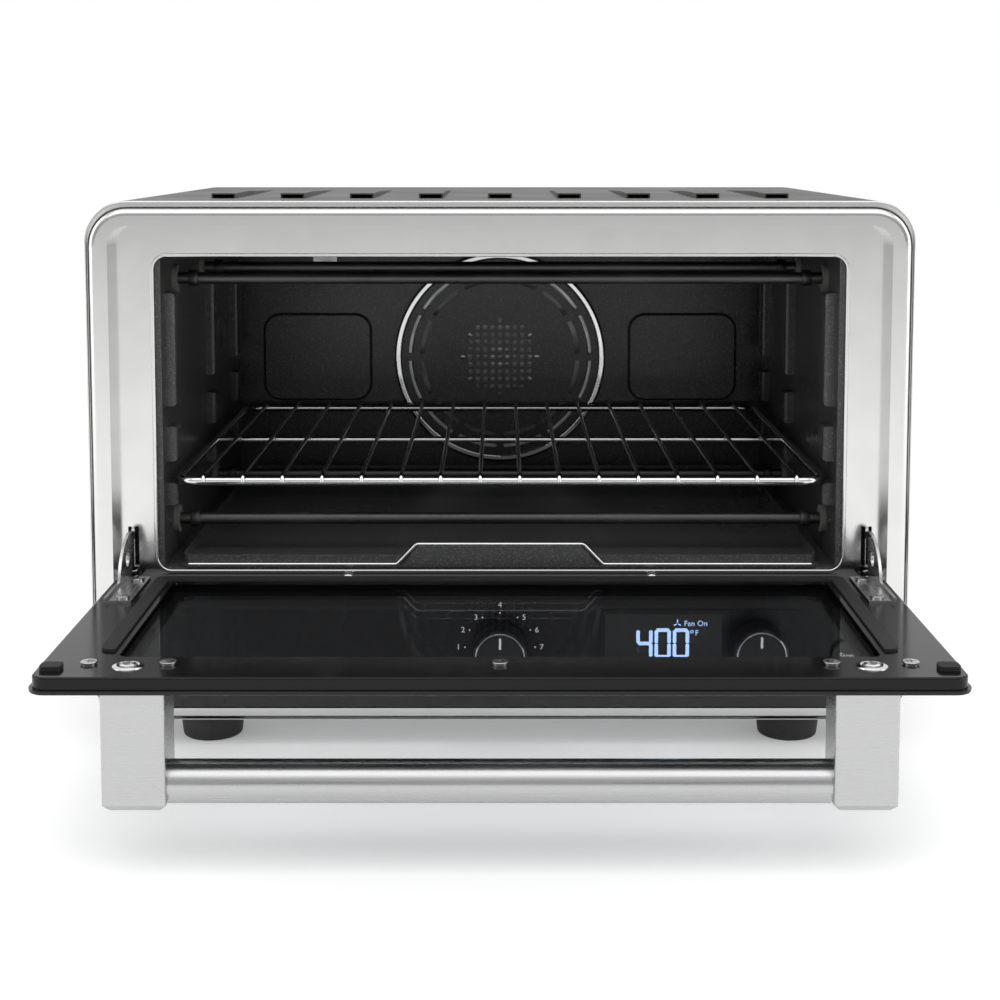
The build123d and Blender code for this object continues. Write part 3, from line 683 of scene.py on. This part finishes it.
class OVEN_OT_knobs(PieceOperator, bpy.types.Operator):
    """Turn the two dial knobs, each with a bright bevel ring and a pointer"""

    bl_idname = "oven.knobs"
    bl_label = "Knobs"

    def execute(self, context):
        for knob in ("mode_knob", "setting_knob"):
            centre = middle(knob)
            low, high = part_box(knob)
            place = toward_front((centre.x, high[1], centre.z))
            body = lathe(
                [
                    (3.15, 10.4), (3.15, 3.0), (11.6, 3.0), (12.4, 0.0), (14.4, 0.0), (15.0, 0.6), (15.0, 2.6),
                    (14.7, 3.0), (14.7, 3.4), (14.9, 3.8), (14.6, 16.6), (14.2, 17.6), (13.1, 18.4),
                    (12.3, 18.4), (11.9, 18.1), (11.0, 18.0), (4.0, 17.9), (0.2, 17.9),
                ],
                96,
            )
            body = settle(body, knob + "_grip", knob, "knob_black", place)
            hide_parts(knob)
            bevel = lathe(
                [
                    (13.2, 18.2), (13.0, 18.75), (12.7, 18.95), (12.3, 18.8),
                    (12.1, 18.0), (12.6, 17.8), (13.2, 18.2),
                ],
                96,
            )
            settle(bevel, knob + "_bevel_ring", knob, "bright_chrome", place)
            # The white pointer takes the glowing mark finish: painted light on printed white.
            pointer = block((0.0012, 0.0058, 0.0012), (0, 0.0074, 0.0181), 0.0003)
            settle(pointer, knob + "_pointer", knob, "mark_white", place)
        return {"FINISHED"}


class OVEN_OT_marks(PieceOperator, bpy.types.Operator):
    """Print the dots and numbers of the dial, and plain words on the buttons and the display; the white print
    glows, which is painted light
    """

    bl_idname = "oven.marks"
    bl_label = "Panel marks"

    def execute(self, context):
        hub = middle("mode_knob")
        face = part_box("control_panel")[0][1]
        size = self.sizes.mark_size
        radius = 0.0187
        numbers = {180: "1", 150: "2", 120: "3", 90: "4", 60: "5", 30: "6", 0: "7"}
        for i, (angle, number) in enumerate(numbers.items()):
            turn = math.radians(angle)
            spot = Vector((hub.x + radius * math.cos(turn), face, hub.z + radius * math.sin(turn)))
            dot = lathe([(0.42, -0.3), (0.42, 0.04), (0.3, 0.1), (0.02, 0.1)], 12)
            settle(dot, f"dial_dot_{i + 1}", "oven_body", "mark_white", toward_front(spot))
            side = round(math.cos(turn), 3)
            align = "CENTER" if side == 0 else ("LEFT" if side > 0 else "RIGHT")
            shift = Vector((0.0024 * (side > 0) - 0.0024 * (side < 0), 0, 0.0042 * (side == 0)))
            self.word(number, f"dial_word_{i + 1}", size, spot + shift, align)
        for name, word in (("upper_button", "Start"), ("lower_button", "Stop")):
            spot = middle(name)
            spot.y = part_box(name)[0][1]
            self.word(word, name + "_word", size, spot, "CENTER", name)
        low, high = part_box("display_lens")
        spot = Vector((low[0] + 0.048, low[1], high[2] - 0.0052))
        self.word("Fan On", "display_word", size, spot, "CENTER", "oven_body", "display_light")
        return {"FINISHED"}

    def word(self, text, name, size, spot, align, body="oven_body", slot="mark_white"):
        """One printed word on a front face; in the default white mark finish the print glows, which is painted
        light.
        """
        label = lettering(text, size, spot, align)
        settle(label, name, body, slot, smooth=10)


class OVEN_OT_display(PieceOperator, bpy.types.Operator):
    """Light the display: seven-segment digits, a degree mark and a small fan"""

    bl_idname = "oven.display"
    bl_label = "Display"

    def execute(self, context):
        low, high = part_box("display_lens")
        height = self.sizes.digit_height
        start = Vector((low[0] + 0.0208, low[1], high[2] - 0.0082 - height / 2))
        lit = {
            "0": "abcdef", "1": "bc", "2": "abged", "3": "abgcd", "4": "fgbc",
            "5": "afgcd", "6": "afgedc", "7": "abc", "8": "abcdefg", "9": "abcdfg",
        }
        long, half = height / 2 - 0.0009, height / 2
        bars = {
            "a": (0, half), "g": (0, 0), "d": (0, -half),
            "f": (-1, half / 2), "b": (1, half / 2), "e": (-1, -half / 2), "c": (1, -half / 2),
        }
        for i, digit in enumerate(self.sizes.digits):
            centre = start + Vector((i * 0.0097, 0, 0))
            for bar in lit[digit]:
                side, rise = bars[bar]
                spot = centre + Vector((side * 0.0034, 0, rise * 0.94))
                self.segment(f"digit_{i + 1}_{bar}", spot, bool(side), long)
        degree = lathe([(0.9, -0.2), (0.9, 0.08), (0.55, 0.08), (0.55, -0.2), (0.9, -0.2)], 20)
        mark = start + Vector((0.0252, 0, 0.0064))
        settle(degree, "degree_ring", "oven_body", "display_light", toward_front(mark))
        settle(
            lettering("F", 0.0042, mark + Vector((0.0026, 0, -0.0008)), "CENTER"),
            "degree_letter",
            "oven_body",
            "display_light",
            smooth=10,
        )
        for i in range(3):
            blade = block((0.0006, 0.0018, 0.0003), (0, 0.0013, 0), 0.00015, 2)
            spin = Matrix.Rotation(math.radians(120 * i), 4, "Z")
            spot = start + Vector((0.0175, 0, 0.0108))
            place = toward_front(spot) @ spin
            settle(blade, f"fan_mark_{i + 1}", "oven_body", "display_light", place)
        return {"FINISHED"}

    def segment(self, name, spot, upright, length):
        """One lit bar with pointed ends."""
        clear_choice()
        bpy.ops.mesh.primitive_cube_add(size=1)
        bar = bpy.context.object
        square, point = length - 0.0008, 0.0005
        bar.scale = (square, 0.0019, 0.0004)
        bpy.ops.object.transform_apply(scale=True)
        for end in (-1, 1):
            editing("VERT")
            pick(lambda co, end=end: co.x * end > 0.4 * square)
            bpy.ops.mesh.extrude_region_move(TRANSFORM_OT_translate={"value": (end * point, 0, 0)})
            bpy.ops.transform.resize(value=(1, 0.3, 1), center_override=(0, 0, 0))
            outward()
        place = toward_front(spot) @ Matrix.Rotation(math.pi / 2 if upright else 0, 4, "Z")
        settle(bar, name, "oven_body", "display_light", place)


class OVEN_OT_screws(PieceOperator, bpy.types.Operator):
    """Domed cross-recess screw heads for the door, the hinge arms and the back"""

    bl_idname = "oven.screws"
    bl_label = "Screws"

    def execute(self, context):
        self.heads("door_screws", "door", 3.4, 0.55, (0, 0, 1))
        self.heads("hinge_arm_screws", "door", 3.2, 0.55, (0, 0, 1))
        self.heads("rear_screws", "oven_body", 3.4, 0.7, (0, 1, 0))
        return {"FINISHED"}

    def heads(self, node, body, radius, rise, outwards):
        """Screw heads over every head of a node; the node's own solids stay as the shanks."""
        tops = islands(node, Vector(outwards))
        head = self.one_head(radius, rise)
        turn = Vector((0, 0, 1)).rotation_difference(Vector(outwards)).to_matrix().to_4x4()
        head.data.transform(turn)
        first = settle(head, node.replace("screws", "screw_head") + "_01", body, "screw_steel")
        repeat(first, first.name[:-3], tops, body)

    def one_head(self, radius, rise):
        """A low dome with a washer edge and a cross cut in it."""
        steps = [
            (radius + 0.35, -0.1), (radius + 0.35, 0.25), (radius + 0.1, 0.45), (radius * 0.86, rise * 0.72),
            (radius * 0.62, rise * 0.92), (radius * 0.3, rise), (0.05, rise),
        ]
        head = lathe(steps, 32)
        for angle in (0, 90):
            cutter = block((radius * 1.25 * MM, 0.62 * MM, 1.4 * MM), (0, 0, rise * MM), 0.0001, 1)
            cutter.data.transform(Matrix.Rotation(math.radians(angle), 4, "Z"))
            cut = head.modifiers.new("cross", "BOOLEAN")
            cut.operation = "DIFFERENCE"
            cut.object = cutter
            bpy.context.view_layer.objects.active = head
            bpy.ops.object.modifier_apply(modifier=cut.name)
            bpy.data.objects.remove(cutter)
        return head


class OVEN_OT_bolt_rings(PieceOperator, bpy.types.Operator):
    """A dished ring and a six-sided socket round each handle bolt"""

    bl_idname = "oven.bolt_rings"
    bl_label = "Handle bolt rings"

    def execute(self, context):
        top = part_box("door_inner_panel")[1][2]
        for i, spot in enumerate(islands("handle_bolts", Vector((0, 0, 1)))):
            spot = Vector(spot)
            spot.z = top
            place = Matrix.Translation(spot)
            ring = lathe(
                [(4.4, 0.02), (4.4, 0.5), (5.0, 0.85), (6.3, 0.7), (6.9, 0.3), (7.0, 0.02), (4.4, 0.02)], 48
            )
            settle(ring, f"handle_bolt_ring_{i + 1}", "door", "bright_chrome", place)
            socket = lathe(
                [(2.0, 1.05), (2.0, 1.5), (3.0, 1.5), (3.5, 1.3), (3.7, 1.02), (2.0, 1.05)], 6
            )
            settle(socket, f"handle_bolt_socket_{i + 1}", "door", "screw_steel", place, smooth=20)
        return {"FINISHED"}


class OVEN_OT_tray_rim(PieceOperator, bpy.types.Operator):
    """Roll a bright edge along the crumb tray's front and over its grip"""

    bl_idname = "oven.tray_rim"
    bl_label = "Tray rim"

    def execute(self, context):
        low, high = (Vector(corner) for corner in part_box("crumb_tray"))
        half = high.x - 0.004
        foot = low.z + 0.0012
        peak = low.z + 0.0122
        front = low.y + 0.0010
        begin_rod(0.0010, (0, 0, 0), 12)
        run_rod((0, half - 0.0565, 0))
        rise = math.atan2(peak - foot, 0.0105)
        bend = 0.003
        bend_rod(rise, (0, half - 0.0565, bend), (1, 0, 0), 4)
        slope = (peak - foot - 2 * bend * (1 - math.cos(rise))) / math.sin(rise)
        run_rod((0, slope * math.cos(rise), slope * math.sin(rise)))
        run_y = half - 0.0565 + bend * math.sin(rise) + slope * math.cos(rise)
        run_z = bend * (1 - math.cos(rise)) + slope * math.sin(rise)
        centre = (0, run_y + bend * math.sin(rise), run_z - bend * math.cos(rise))
        bend_rod(-rise, centre, (1, 0, 0), 4)
        run_rod((0, half - centre[1], 0))
        outward()
        bar = bpy.context.object
        place = Matrix.Translation((-half, front, foot)) @ Matrix.Rotation(-math.pi / 2, 4, "Z")
        bar.data.transform(place)
        editing("FACE")
        pick(lambda co: abs(co.x) < 2e-4)
        bpy.ops.mesh.delete(type="ONLY_FACE")
        bpy.ops.object.mode_set(mode="OBJECT")
        mirror = bar.modifiers.new("other_half", "MIRROR")
        mirror.use_mirror_merge = True
        bpy.context.view_layer.objects.active = bar
        bpy.ops.object.modifier_apply(modifier=mirror.name)
        settle(bar, "tray_front_edge", "tray", "bright_chrome")
        return {"FINISHED"}


class OVEN_OT_flange_studs(PieceOperator, bpy.types.Operator):
    """Small domed studs on the flange below the opening"""

    bl_idname = "oven.flange_studs"
    bl_label = "Flange studs"

    def execute(self, context):
        low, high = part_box("control_panel")
        for i, side in enumerate((-1, 1)):
            stud = lathe([(2.6, -0.4), (2.6, 0.2), (2.2, 0.9), (1.3, 1.4), (0.05, 1.55)], 28)
            place = Matrix.Translation((side * 0.081, low[1] + 0.0062, high[2]))
            settle(stud, f"flange_stud_{i + 1}", "oven_body", "screw_steel", place)
        return {"FINISHED"}


class OVEN_OT_element_ends(PieceOperator, bpy.types.Operator):
    """Crimped collars where the heating elements enter their insulators"""

    bl_idname = "oven.element_ends"
    bl_label = "Element ends"

    def execute(self, context):
        collar_x = 0.1715
        rods = ("upper_front", "upper_rear", "lower_front", "lower_rear")
        places = [middle(name + "_element") for name in rods]
        outline = [(3.45, 0), (4.3, 0), (4.6, 0.5), (4.6, 4.5), (4.0, 5.2), (3.45, 5.4), (3.45, 0)]
        collar = lathe(outline, 32)
        for side in (-1, 1):
            turn = Matrix.Rotation(-side * math.pi / 2, 4, "Y")
            for i, spot in enumerate(places):
                twin = copy_of(collar, "collar")
                place = Matrix.Translation((side * collar_x, spot.y, spot.z)) @ turn
                name = f"element_collar_{'left' if side < 0 else 'right'}_{i + 1}"
                settle(twin, name, "oven_body", "element_sheath", place)
        bpy.data.objects.remove(collar)
        return {"FINISHED"}


class OVEN_OT_stage(PieceOperator, bpy.types.Operator):
    """Lay the pale floor, light it softly and set the camera"""

    bl_idname = "oven.stage"
    bl_label = "Stage"

    def execute(self, context):
        stage = context.scene.oven_stage
        self.floor(stage.floor_size)
        self.lights()
        self.camera(stage)
        self.surroundings(context.scene)
        return {"FINISHED"}

    def floor(self, size):
        """A plain pale floor."""
        clear_choice()
        bpy.ops.mesh.primitive_plane_add(size=size)
        floor = bpy.context.object
        floor.name = "floor"
        paint = Paint("pale_floor")
        cloud = paint.noise(3.0)
        shade = paint.blend(cloud, grey(0.90), grey(0.92))
        floor.data.materials.append(
            paint.finish(
                base_color=shade, roughness=0.7, emission_color=shade, emission_strength=0.22
            )
        )

    def lights(self):
        """Soft panels above, in front and at the sides."""
        centre_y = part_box("front_bezel")[0][1]
        panels = {
            "key_panel": ((0.0, centre_y - 1.0, 1.5), (52, 0, 0), (2.4, 1.0), 9),
            "left_panel": ((-1.5, centre_y - 0.5, 0.7), (80, 0, -70), (0.7, 1.4), 5),
            "right_panel": ((1.5, centre_y - 0.5, 0.7), (80, 0, 70), (0.7, 1.4), 6),
            "top_panel": ((0.0, 0.2, 1.9), (0, 0, 0), (2.2, 2.2), 5),
        }
        for name, (place, turn, size, power) in panels.items():
            data = bpy.data.lights.new(name, "AREA")
            data.shape = "RECTANGLE"
            data.size, data.size_y = size
            data.energy = power
            lamp = bpy.data.objects.new(name, data)
            lamp.location = place
            lamp.rotation_euler = [math.radians(angle) for angle in turn]
            bpy.context.scene.collection.objects.link(lamp)

    def camera(self, stage):
        """The camera stands in front, a little above the oven, and looks slightly down."""
        data = bpy.data.cameras.new("camera")
        data.sensor_width = 36.0
        data.lens = stage.lens
        data.shift_y = -0.2
        camera = bpy.data.objects.new("camera", data)
        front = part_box("front_bezel")[0][1]
        camera.location = (0, front - stage.camera_distance, stage.camera_height)
        camera.rotation_euler = (math.pi / 2 - stage.camera_tilt, 0, 0)
        bpy.context.scene.collection.objects.link(camera)
        bpy.context.scene.camera = camera

    def surroundings(self, scene):
        """A white room, dimmer in front near the floor, so that metal shows some shape."""
        world = bpy.data.worlds.new("white_room")
        world.use_nodes = True
        nodes, links = world.node_tree.nodes, world.node_tree.links
        back = nodes["Background"]
        way = nodes.new("ShaderNodeTexCoord")
        parts = nodes.new("ShaderNodeSeparateXYZ")
        links.new(way.outputs["Generated"], parts.inputs[0])
        levels = {}
        for axis, stops in {"Y": ((-0.75, 0.0), (0.1, 1.0)), "Z": ((0.05, 0.0), (0.75, 1.0))}.items():
            level = nodes.new("ShaderNodeMapRange")
            level.interpolation_type = "SMOOTHSTEP"
            level.inputs[1].default_value, level.inputs[3].default_value = stops[0]
            level.inputs[2].default_value, level.inputs[4].default_value = stops[1]
            links.new(parts.outputs[axis], level.inputs["Value"])
            levels[axis] = level
        either = nodes.new("ShaderNodeMath")
        either.operation = "MAXIMUM"
        links.new(levels["Y"].outputs[0], either.inputs[0])
        links.new(levels["Z"].outputs[0], either.inputs[1])
        strength = nodes.new("ShaderNodeMapRange")
        strength.inputs[3].default_value = 0.42
        strength.inputs[4].default_value = 1.0
        links.new(either.outputs[0], strength.inputs["Value"])
        links.new(strength.outputs[0], back.inputs["Strength"])
        back.inputs["Color"].default_value = (1, 1, 1, 1)
        scene.world = world
        scene.view_settings.view_transform = "Standard"


class OVEN_PT_panel(bpy.types.Panel):
    """Lists the oven's pieces in the sidebar"""

    bl_label = "Toaster Oven"
    bl_idname = "OVEN_PT_panel"
    bl_space_type = "VIEW_3D"
    bl_region_type = "UI"
    bl_category = "Toaster Oven"

    def draw(self, context):
        layout = self.layout
        for operator in OPERATORS:
            layout.operator(operator.bl_idname)
        for group in (context.scene.oven_sizes, context.scene.oven_stage):
            for name in group.__annotations__:
                layout.prop(group, name)


OPERATORS = (
    OVEN_OT_finishes,
    OVEN_OT_wire_rack,
    OVEN_OT_knobs,
    OVEN_OT_marks,
    OVEN_OT_display,
    OVEN_OT_screws,
    OVEN_OT_bolt_rings,
    OVEN_OT_tray_rim,
    OVEN_OT_flange_studs,
    OVEN_OT_element_ends,
    OVEN_OT_stage,
)
GROUPS = (OvenSizes, StageSizes)


def register():
    """Register the classes and hang the settings on the scene."""
    for cls in (*GROUPS, *OPERATORS, OVEN_PT_panel):
        bpy.utils.register_class(cls)
    bpy.types.Scene.oven_sizes = PointerProperty(type=OvenSizes)
    bpy.types.Scene.oven_stage = PointerProperty(type=StageSizes)


def unregister():
    """Take the settings and classes away again."""
    del bpy.types.Scene.oven_stage
    del bpy.types.Scene.oven_sizes
    for cls in reversed((*GROUPS, *OPERATORS, OVEN_PT_panel)):
        bpy.utils.unregister_class(cls)


def main():
    """Register the add-on, then make every piece."""
    register()
    for operator in OPERATORS:
        group, name = operator.bl_idname.split(".")
        getattr(getattr(bpy.ops, group), name)()


if __name__ == "__main__":
    main()
